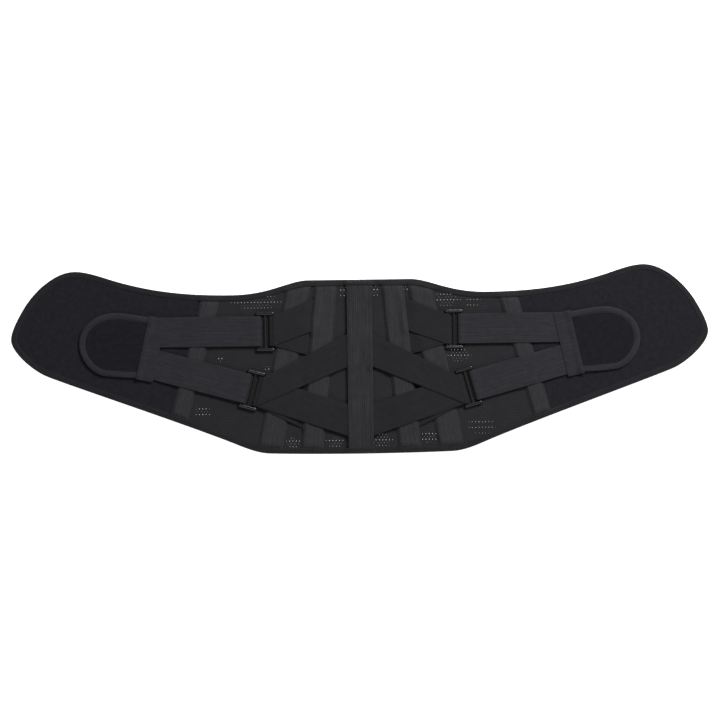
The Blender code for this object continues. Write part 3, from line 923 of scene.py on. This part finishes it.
def make_wings():
    for name, side in SIDES.items():
        outline = clockwise(wing_outline(side))
        wing = cloth_plate(
            name + "_wing", outline, WING_Z, WING_FABRIC,
            spacing=3.2 * MM, edge=2.5 * MM, relief=wing_relief,
        )
        stack.cover(outline, WING_Z[1])
        bend_with_wing(wing, name)
        standing_for(wing, "loop_fabric", name + "_wing_panel")


def make_seam_tape(name, side):
    """The tape on the wearer's side, over the seam between the mesh and the wing."""
    plan, stations, width = pocket_plan("side", side, 15)
    half = 0.35 * MM * edge_profile(stations, width)
    tape = strap(name + "_seam_tape", raised(plan, 0.75 * MM), half, half, POCKET_TAPE, lay=False)
    fixed(tape, "back", "pocket_tape")


def make_front_hook():
    """The closure's hook patch under the left wing's end."""
    low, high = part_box("front_hook_patch")
    ring = inset(OUTLINE, 13 * MM)
    outline = clockwise(swept(ring[ring[:, 0] < high.x], (high.x - 1 * MM, (low.y + high.y) / 2)))
    heights = (0.05 * MM, low.z + 0.9 * MM)
    patch = cloth_plate("front_hook", outline, heights, HOOK_TAPE, spacing=4 * MM, edge=0.8 * MM)
    fixed(patch, "left_wing", "hook_tape", "front_hook_patch")


# ---- pockets and bands


def pocket_plan(kind, side, count):
    """Places over a pocket, whose ends are tucked under the binding, its places across and its width."""
    x, lean, width = POCKETS[kind]
    stations = across_stations(width, count)
    outward, along = directions(lean, side)
    bounds = inset(OUTLINE, POCKET_TUCK)
    corners = []
    for end in (0, 1):
        for edge in (-width / 2, width / 2):
            place = np.array([x * side, 0.0]) + outward * side * edge
            corners.append(place + along * line_reach(place, along, bounds)[end])
    return plan_patch(corners, stations, width), stations, width


def pocket_rise(stations, width, run):
    """A pocket's lift over its sewn-down edges and ends."""
    shoulder = eased((width / 2 - np.abs(stations) - 0.8 * MM) / (3.4 * MM))
    slope = eased((np.minimum(run, run[-1] - run) - 1.5 * MM) / (7 * MM))
    return POCKET_RISE * slope[:, None] * shoulder * (0.86 + 0.14 * np.cos(stations / width * 3))


def seam_lines(plan, stations, offset):
    """The two paths along a strap's plan at an offset to each side of its middle line."""
    lines = []
    for distance in (-offset, offset):
        place = np.interp(distance, stations, np.arange(len(stations)))
        low = min(int(place), len(stations) - 2)
        share = place - low
        lines.append(plan[:, low] * (1 - share) + plan[:, low + 1] * share)
    return lines


def make_pocket(title, kind, side):
    """A stay pocket; gives the paths of its two seams."""
    plan, stations, width = pocket_plan(kind, side, 29)
    run = path_run(plan[:, len(stations) // 2])
    height = stack.bed_under(plan) + LAY_GAP + TAPE_THICKNESS / 2 + pocket_rise(stations, width, run)
    shape = edge_profile(stations, width)
    hem = HEM_HEIGHT * ridge(np.abs(stations), width / 2 - 1.3 * MM, 0.8 * MM)
    half = TAPE_THICKNESS / 2
    mid = raised(plan, height)
    pocket = strap(title + "_sleeve", mid, (half + hem) * shape, half * shape, POCKET_TAPE)
    fixed(pocket, "back", "pocket_tape", title + "_pocket")
    return seam_lines(plan, stations, width / 2 - POCKET_SEAM_INSET)


def make_centre_cover():
    """The wide ribbed tape over the webbing ends, from edge to edge of the belt."""
    plan, stations, width = pocket_plan("centre", 1, 53)
    ribs = np.cos(stations / CENTRE_RIB_PITCH * 2 * math.pi) * (1 + 0.6 * np.sin(stations * 700))
    hem = HEM_HEIGHT * ridge(np.abs(stations), width / 2 - 1.6 * MM, 0.9 * MM)
    shape = edge_profile(stations, width)
    half = CENTRE_HALF_THICKNESS
    mid = raised(plan, stack.bed_under(plan, 3, 3.5) + LAY_GAP + half)
    band = strap("centre_cover", mid, (half + 0.08 * MM * ribs + hem) * shape, half * shape, CENTRE_TAPE)
    fixed(band, "back", "ribbed_tape", "centre_cover_band")
    return seam_lines(plan, stations, width / 2 - CENTRE_SEAM_INSET)


# ---- webbing and elastic

STRAP_EDGES = (-STRAP_WIDTH / 2, STRAP_WIDTH / 2)
WEBBING_STATIONS = across_stations(STRAP_WIDTH, 15)
ELASTIC_STATIONS = across_stations(STRAP_WIDTH, 41)


def buckle_frame(which, side):
    """The buckle's middle, the direction along its strap away from the belt's middle, and across it."""
    centre, slope = BUCKLES[which]
    return mirrored(centre, side), *directions(slope, side)


def arm_end(side, to_middle):
    """The line that an arm ends at: a point on it and the direction across it."""
    if to_middle:
        return np.array([WEBBING_END_X * side, 0.0]), np.array([side, 0.0])
    x, lean, width = POCKETS["inner"]
    outward, _ = directions(lean, side)
    return np.array([x * side, 0.0]) + outward * (width / 2 - TUCK_UNDER_POCKET), outward


def taut(distance, height):
    """Each column of heights bridged like a taut string: the upper hull of height against distance."""
    lifted = height.copy()
    for column in range(height.shape[1]):
        hull = []
        for point in zip(distance[:, column], height[:, column]):
            while len(hull) > 1:
                (x0, z0), (x1, z1) = hull[-2:]
                if (z1 - z0) * (point[0] - x0) > (point[1] - z0) * (x1 - x0):
                    break
                hull.pop()
            hull.append(point)
        lifted[:, column] = np.interp(distance[:, column], *zip(*hull))
    return lifted


def drawn(bed, distance, bar_height, length, tension):
    """A strap's middle height: over its bed, eased up to a buckle's bar, then drawn taut."""
    height = bed + LAY_GAP + STRAP_THICKNESS / 2
    share = eased(1 - distance / length)
    height = np.maximum(height, height * (1 - share) + bar_height * share)
    return tension * taut(distance, height) + (1 - tension) * height


def strap_half(stations, ribs=0.0):
    ridges = ribs * np.cos(stations / ELASTIC_RIB_PITCH * 2 * math.pi)
    return (STRAP_THICKNESS / 2 + ridges) * edge_profile(stations, STRAP_WIDTH)


def webbing_strap(name, mid):
    half = strap_half(WEBBING_STATIONS)
    return strap(name, mid, half, half, WEBBING)


def make_arms(name, which, side, layer):
    """One layer of webbing arms, from their slanting ends at the inner bar to where each ends."""
    centre, along, across = buckle_frame(which, side)
    arms = []
    for ending, degrees, lift, gap, to_middle in WEBBING_ARMS[layer]:
        outward, upward = directions(math.radians(-degrees), side)
        bar = centre - along * (BAR_SPACING + gap * MM)
        corners = [bar + across * edge for edge in STRAP_EDGES]
        for edge in STRAP_EDGES:
            place = bar + upward * edge
            corners.append(place - outward * reach_to(place, -outward, arm_end(side, to_middle)))
        plan = plan_patch(corners, WEBBING_STATIONS, STRAP_WIDTH)
        distance = np.abs((plan - centre) @ along + BAR_SPACING)
        top = BAR_Z + LOOP_RADIUS + lift * MM
        height = drawn(stack.bed_under(plan, 4, 3.5), distance, top, 16 * MM, WEBBING_TENSION)
        arms.append(webbing_strap(f"{name}_{which}_web{ending}", raised(plan, height)))
    return arms


def turn_surface(which, side, sign, lead, under_run, stations):
    """Middle surface of a strap turned round a bar: sign +1 for the outer bar, -1 for the inner one."""
    centre, along, across = buckle_frame(which, side)
    bar = centre + along * BAR_SPACING * sign
    path = [(sign * lead * (1 - i / TURN_ROWS_ABOVE), LOOP_RADIUS) for i in range(TURN_ROWS_ABOVE)]
    angles = math.pi / 2 + sign * np.linspace(0, math.pi, 13)
    path += [(math.cos(angle) * LOOP_REACH, math.sin(angle) * LOOP_RADIUS) for angle in angles]
    steps = max(1, round(under_run / SPACING_ALONG))
    path += [(sign * under_run * (i + 1) / steps, -LOOP_RADIUS) for i in range(steps)]
    path = np.array(path)
    plan = (bar + path[:, :1] * along)[:, None] + across * stations[:, None]
    return raised(plan, BAR_Z + path[:, 1:])


def finish_webbing(name, which, side, arms):
    """Joins a buckle's arms of webbing and the turn round its inner bar into one piece."""
    turned = turn_surface(which, side, -1, 6 * MM, 1.5 * MM, WEBBING_STATIONS)
    turn = webbing_strap(f"{name}_{which}_web_turn", turned)
    fixed(joined(*arms, turn), "back", "webbing", f"{name}_{which}_webbing")


def make_elastic(name, which, side):
    """The pull strap in three lengths: round the buckle's bar, over the fold and into the cross strip."""
    centre, along, across = buckle_frame(which, side)
    bar = centre + along * BAR_SPACING
    stations = ELASTIC_STATIONS
    turned = turn_surface(which, side, 1, 8 * MM, TURNED_BACK_ELASTIC, stations)
    middle, strip_across, _ = strip_frame(side)
    inside_strip = middle + strip_across * (ELASTIC_INSIDE_STRIP - STRIP_SIZE[0] / 2)
    run = reach_to(bar, along, (inside_strip, strip_across))
    corners = [bar + along * reach + across * edge for reach in (0, run) for edge in STRAP_EDGES]
    laid = plan_patch(corners, stations, STRAP_WIDTH)
    distance = np.abs((laid - bar) @ along)
    bed = stack.bed_under(laid, 5, 5)
    surface = raised(laid, drawn(bed, distance, BAR_Z + LOOP_RADIUS, 12 * MM, ELASTIC_TENSION))
    lengths = distance[:, len(stations) // 2]
    turn_stop = np.searchsorted(lengths, TURN_LENGTH)
    fold, outward = fold_frame(side)
    beyond = ((laid - fold) @ outward).min(axis=1)
    fold_stop = np.searchsorted(beyond, FOLD_WIDTH)
    around = np.concatenate([surface[turn_stop::-1], turned[TURN_ROWS_ABOVE:]])
    title = f"{name}_{which}_pull_elastic"
    half = strap_half(stations, 0.04 * MM)
    turn, over_fold, end = (
        strap(title + suffix, part, half, half, ELASTIC)
        for suffix, part in (
            ("_turn", around), ("", surface[turn_stop:fold_stop + 1]), ("_end", surface[fold_stop:]),
        )
    )
    blended(turn, (f"{name}_{which}_buckle_frame", "back"), bar, along, TURN_BLEND)
    bend_with_wing(over_fold, name)
    blended(end, (name + "_wing", name + "_pull"), bar, along, (lengths[fold_stop], run - 3 * MM))
    for piece in (turn, over_fold, end):
        standing_for(piece, "ribbed_elastic", f"{name}_{which}_elastic")


# ---- cross strip and pull tab


def strip_plan(side, rows):
    """Places over the cross strip, for rows at given distances from its middle line."""
    middle, across, along = strip_frame(side)
    stations = across_stations(STRIP_SIZE[1], 37)
    return middle + across * rows[:, None, None] + along * stations[:, None], stations


def make_strip_underlay(name, side):
    """The cross strip's lower layer, which the elastic ends lie on."""
    plan, stations = strip_plan(side, np.linspace(-STRIP_SIZE[0] / 2, STRIP_SIZE[0] / 2, 9))
    mid = raised(plan, WING_Z[1] + 0.45 * MM + UNDERLAY_THICKNESS / 2)
    half = UNDERLAY_THICKNESS / 2 * edge_profile(stations, STRIP_SIZE[1])
    return strap(name + "_strip_underlay", mid, half, half, TAB_TAPE)


def make_cross_strip(name, side, underlay):
    """The tape over the elastic ends and the tab's inner edge, with a ridge over the tab's edge."""
    reach = STRIP_SIZE[0] / 2
    rim = reach - 0.4 * MM
    rows = np.array([-reach, -rim, *np.linspace(-reach + MM, reach - MM, 17), rim, reach])
    plan, stations = strip_plan(side, rows)
    over_tab = 0.7 * MM * ridge(rows, reach - 5 * MM, 3 * MM)
    height = stack.bed_under(plan, 2, 2) + LAY_GAP + STRIP_THICKNESS / 2 + over_tab[:, None]
    profile = edge_profile(stations, STRIP_SIZE[1]) * edge_profile(rows, STRIP_SIZE[0])[:, None]
    half = STRIP_THICKNESS / 2 * profile
    strip = joined(strap(name + "_end_tape", raised(plan, height), half, half, TAB_TAPE), underlay)
    fixed(strip, name + "_pull", "tab_tape", name + "_cross_strip")
    paths, _ = strip_plan(side, np.array([-STRIP_SEAM_OFFSET, STRIP_SEAM_OFFSET]))
    return [resampled(path[2:-2], 2 * MM) for path in paths]


def make_tab(name, side):
    """The pull tab: padded face, rolled rim tape round the free edge, hook patch underneath."""
    pad_outline, hook_outline = (
        clockwise(mirrored(inset(TAB_OUTLINE, by, closed=False), side)) for by in (1.2 * MM, 3.2 * MM)
    )
    pad = cloth_plate(
        name + "_tab_cushion", pad_outline, TAB_PAD_Z, TAB_FABRIC, spacing=2.4 * MM, edge=1.5 * MM,
        dome=0.3 * MM, relief=lambda p: 0.08 * MM * np.sin(p[:, 0] * 900 + np.sin(p[:, 1] * 160) * 2.2),
    )
    hook = cloth_plate(name + "_tab_hook_tape", hook_outline, TAB_HOOK_Z, HOOK_TAPE, edge=0.5 * MM)
    path = resampled(TAB_OUTLINE, 2.5 * MM)
    top, bottom = TAB_PAD_Z[1] + 0.45 * MM, TAB_PAD_Z[0] - 0.4 * MM
    section = rim_section(TAB_RIM_WIDTH, top, bottom, 0.35 * MM)
    mid = raised(rim_plan(path, section, side), section[:, 1])
    half = rim_thickness(section, TAB_RIM_WIDTH)
    rim = strap(name + "_tab_rim", mid, half, half, TAB_TAPE)
    stack.cover(pad_outline, TAB_PAD_Z[1] + 0.1 * MM)
    for piece, slot, cad in (
        (pad, "tab_face", "_tab_pad"),
        (hook, "hook_tape", "_tab_hook"),
        (rim, "tab_tape", "_tab_binding"),
    ):
        bend_with_tab(piece, name)
        standing_for(piece, slot, name + cad)
    return mirrored(inset(path, TAB_RIM_WIDTH - RIM_SEAM_INSET, closed=False), side)


# ---- rims, seams and buckles


def rim_section(width, top, bottom, crown):
    """A folded tape in section: inset and height, from its upper inner edge round to its lower one."""
    turn_inset = 1.6 * MM
    edge = [width, width - 0.5 * MM, width - 1.1 * MM]
    flat = np.concatenate([edge, np.linspace(width - 1.8 * MM, turn_inset, 8)])
    arch = crown * np.sin(np.pi * (width - flat) / width)
    settle = 0.3 * MM * np.clip(1 - (width - flat) / (1.8 * MM), 0, 1)
    upper = np.column_stack([flat, top + arch - settle])
    angle = math.pi / 2 - math.pi * np.arange(1, 9) / 9
    heights = (top + bottom) / 2 + (top - bottom) / 2 * np.sin(angle)
    turn = np.column_stack([turn_inset - 1.15 * MM * np.cos(angle), heights])
    lower = np.column_stack([np.linspace(turn_inset, width, 6), np.full(6, bottom)])
    return np.concatenate([upper, turn, lower])


def rim_plan(path, section, side):
    """Places in plan of a folded tape that follows a path."""
    return mirrored(path[:, None] + inward(path)[:, None] * section[:, :1], side)


def rim_thickness(section, width):
    """Half thickness of a folded tape, thinned at its two inner edges."""
    near = np.clip((width - section[:, 0]) / (2.2 * MM), 0, 1)
    return 0.4 * MM * (0.2 + 0.8 * near)


def make_binding():
    """The folded stretch tape round the whole edge, one length for each half of the belt."""
    rim_bed = stack.bed(OUTLINE, 2, 1.5)
    path = resampled(HALF_OUTLINE, 3 * MM)
    section = rim_section(BINDING_WIDTH, 0.0, -BINDING_DEPTH, BINDING_CROWN)
    share = np.clip(section[:, 1] / BINDING_DEPTH + 1, 0, 1)
    crown = np.clip(section[:, 1], -BINDING_CROWN, None) * (section[:, 1] > -0.4 * MM)
    half = rim_thickness(section, BINDING_WIDTH)
    seams = {}
    for name, side in SIDES.items():
        places = rim_plan(path, section, side)
        top = np.maximum(stack.read(rim_bed, places), WING_Z[1]) + LAY_GAP + 0.35 * MM
        mid = raised(places, share * top + (1 - share) * 0.45 * MM + crown)
        binding = strap(name + "_binding", mid, half, half, BINDING_TAPE)
        bend_with_wing(binding, name)
        back = "back_binding_top" if side > 0 else "back_binding_bottom"
        standing_for(binding, "binding_tape", name + "_wing_binding", back)
        seams[name] = mirrored(inset(path, BINDING_WIDTH - RIM_SEAM_INSET, closed=False), side)
    return seams


def make_stitches(title, paths, bed=None, level=None):
    """One object of stitches on a bed or at a level, each a short rounded bead sunk into the cloth."""
    ring = circle(6)
    stations = np.array([-0.5, -0.36, 0.0, 0.36, 0.5])
    fatness = np.array([0.25, 0.8, 1.0, 0.8, 0.25])
    points, faces, uv = [], [], []
    for path in paths:
        spots = resampled(path, STITCH_PITCH)
        for spot, direction in zip(spots[1:-1], tangents(spots, False)[1:-1]):
            z = level if bed is None else float(stack.read(bed, spot))
            across = np.array([-direction[1], direction[0]])
            faces += tube_faces(len(stations), len(ring), len(points))
            for station, fat in zip(stations, fatness):
                drop = 0.35 * MM * (2 * abs(station)) ** 2
                for c, s in ring * STITCH_RADIUS:
                    place = spot + direction * station * STITCH_LENGTH + across * c * fat
                    points.append((*place, z + s * fat * 0.8 - drop + 0.08 * MM))
                    uv.append((station * STITCH_LENGTH, c))
    return finished(title, points, faces, uv, THREAD)


def rounded_block(half_length, half_width, half_height, corner, crown):
    """Points and faces of a block with round corners in plan and rounded upper and lower edges."""
    outline = []
    for x, y, start in ((1, 1, 0), (-1, 1, 90), (-1, -1, 180), (1, -1, 270)):
        middle = np.array([x * (half_length - corner), y * (half_width - corner)])
        outline += [middle + corner * np.array(heading(start + turn)) for turn in np.linspace(0, 90, 6)]
    outline = np.array(outline)
    layers = []
    for angle in np.radians(np.linspace(-90, 90, 13)):
        reach = 1 - crown * (1 - math.cos(angle)) / np.array([half_length, half_width])
        z = (half_height - crown) * np.sign(angle) * min(1, abs(angle) * 6) + crown * math.sin(angle)
        layers.append(raised(outline * reach, z))
    return np.concatenate(layers), tube_faces(len(layers), len(outline))


def rail_parts(spread):
    """The slider's two crowned rails, each this far from its middle."""
    points, faces = rounded_block(BUCKLE_SIZE[0] / 2, RAIL_WIDTH / 2, RAIL_HEIGHT / 2, 2.0 * MM, 1.7 * MM)
    for middle in (-spread, spread):
        yield points + np.array([0, middle, 0]), faces


def bar_parts(spread):
    """Its two round end bars, then its toothed flat centre bar, set a little low."""
    ring = circle(BAR_FACETS) * BAR_RADIUS
    for place in (-BAR_SPACING, BAR_SPACING):
        points = [(place + x, y, z) for y in (-spread, 0, spread) for x, z in ring]
        yield np.array(points), tube_faces(3, BAR_FACETS)
    section = np.array([
        (1.9, -0.3), (1.2, -1.1), (-1.2, -1.1), (-1.9, -0.3),
        (-1.9, 0.1), (-0.7, 1.1), (0.7, 1.1), (1.9, 0.1),
    ]) * MM
    points = []
    for k, y in enumerate(np.linspace(-spread, spread, TEETH)):
        bite = np.copysign(np.array([1, 0.4]) * TOOTH_DEPTH * (k % 2), section)
        points += [(x, y, z - CENTRE_BAR_DROP) for x, z in section - bite]
    yield np.array(points), tube_faces(TEETH, len(section))


def make_buckle(name, which, side):
    """Three-bar slider, tilted with the cloth that it lies on."""
    centre, along, across = buckle_frame(which, side)
    spread = (BUCKLE_SIZE[1] - RAIL_WIDTH) / 2
    solids, faces, count = [], [], 0
    for points, part_faces in (*rail_parts(spread), *bar_parts(spread)):
        faces += [[count + i for i in face] for face in part_faces]
        count += len(points)
        solids.append(points)
    local = np.concatenate(solids)
    flat = centre + local[:, :1] * along + (local[:, 1:2] - BUCKLE_DROP[which]) * across
    height = local[:, 2] + BAR_Z + swell(centre)
    for axis, direction in enumerate((along, across)):
        rise = swell(centre + direction * TILT_PROBE) - swell(centre - direction * TILT_PROBE)
        height += local[:, axis] * rise / (2 * TILT_PROBE)
    title = f"{name}_{which}_slider"
    buckle = finished(title, raised(flat, height), faces, local[:, :2], PLASTIC, swelling=False)
    fixed(buckle, f"{name}_{which}_buckle_frame", "buckle_plastic", f"{name}_{which}_buckle")


# ---- the scene


def make_floor():
    """A pale floor that glows a little, so that it shows white through the holes in the mesh."""
    bpy.ops.mesh.primitive_plane_add(size=30, location=(0, 0, FLOOR_Z))
    floor = bpy.context.object
    floor.name = "pale_floor"
    look = Look("pale_floor", (0.9, 0.9, 0.9), 0.9)
    look.shader.inputs["Emission Color"].default_value = (1, 1, 1, 1)
    look.shader.inputs["Emission Strength"].default_value = 0.9
    floor.data.materials.append(look.material)


def make_light(name, place, target, size, energy):
    data = bpy.data.lights.new(name, "AREA")
    data.energy = energy
    data.shape = "RECTANGLE"
    data.size, data.size_y = size
    light = linked(name, data)
    light.location = place
    light.rotation_mode = "QUATERNION"
    light.rotation_quaternion = (Vector(target) - Vector(place)).to_track_quat("-Z", "Y")


def make_camera():
    """Straight above, with the slight turn of the view."""
    lens, view_width, sensor = 100.0, 0.9325, 36.0
    data = bpy.data.cameras.new("camera")
    data.lens = lens
    data.sensor_width = sensor
    data.clip_end = 50
    camera = linked("camera", data)
    camera.location = (0.0, 0.001, view_width * lens / sensor)
    camera.rotation_euler = (0, 0, math.radians(-0.8))
    bpy.context.scene.camera = camera


def make_world():
    world = bpy.data.worlds.new("studio")
    world.use_nodes = True
    background = world.node_tree.nodes["Background"]
    background.inputs["Color"].default_value = (1, 1, 1, 1)
    background.inputs["Strength"].default_value = 0.17
    bpy.context.scene.world = world
    bpy.context.scene.view_settings.view_transform = "Standard"


make_camera()
make_world()
make_floor()
make_light("key_softbox", (0.85, 1.2, 1.6), (0.05, 0, 0), (1.3, 0.7), 55)
make_light("front_fill", (-0.3, -1.3, 1.5), (0, 0, 0), (2.0, 1.0), 9)

# The layers are laid from the lowest up. The pockets' stitches follow copies of the heights, made before
# more is laid over them.
make_back_mesh()
make_wings()
make_front_hook()
outer_seams = []
for name, side in SIDES.items():
    outer_seams += make_pocket(name + "_mid", "mid", side)
    make_seam_tape(name, side)
    outer_seams += make_pocket(name + "_side", "side", side)
outer_seams += make_pocket("centre", "centre", 1)
outer_bed = stack.top.copy()
under_arms = {}
for name, side in SIDES.items():
    finish_webbing(name, "upper", side, make_arms(name, "upper", side, "upper"))
    under_arms[name] = make_arms(name, "lower", side, "under")
inner_seams = []
for name, side in SIDES.items():
    inner_seams += make_pocket(name + "_inner", "inner", side)
inner_bed = stack.top.copy()
for name, side in SIDES.items():
    finish_webbing(name, "lower", side, under_arms[name] + make_arms(name, "lower", side, "lower"))
cover_seams = make_centre_cover()
strip_seams = {}
rim_seams = {}
for name, side in SIDES.items():
    underlay = make_strip_underlay(name, side)
    for which in BUCKLES:
        make_elastic(name, which, side)
    rim_seams[name] = make_tab(name, side)
    strip_seams[name] = make_cross_strip(name, side, underlay)
binding_seams = make_binding()

fixed(make_stitches("outer_sleeve_stitches", outer_seams, outer_bed), "back", "pocket_tape")
fixed(make_stitches("inner_sleeve_stitches", inner_seams, inner_bed), "back", "pocket_tape")
fixed(make_stitches("cover_stitches", cover_seams, stack.top), "back", "ribbed_tape")
for name, side in SIDES.items():
    edge_stitches = make_stitches(name + "_edge_stitches", [binding_seams[name]], stack.top)
    bend_with_wing(edge_stitches, name)
    standing_for(edge_stitches, "binding_tape")
    strip_stitches = make_stitches(name + "_strip_stitches", strip_seams[name], stack.top)
    fixed(strip_stitches, name + "_pull", "tab_tape")
    tab_stitches = make_stitches(name + "_tab_stitches", [rim_seams[name]], level=TAB_PAD_Z[1] + 1.0 * MM)
    bend_with_tab(tab_stitches, name)
    standing_for(tab_stitches, "tab_tape")
    for which in BUCKLES:
        make_buckle(name, which, side)

for title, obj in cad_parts.items():
    if title.endswith("_stay"):
        obj.data.materials.clear()
        obj.data.materials.append(STAY_STEEL)
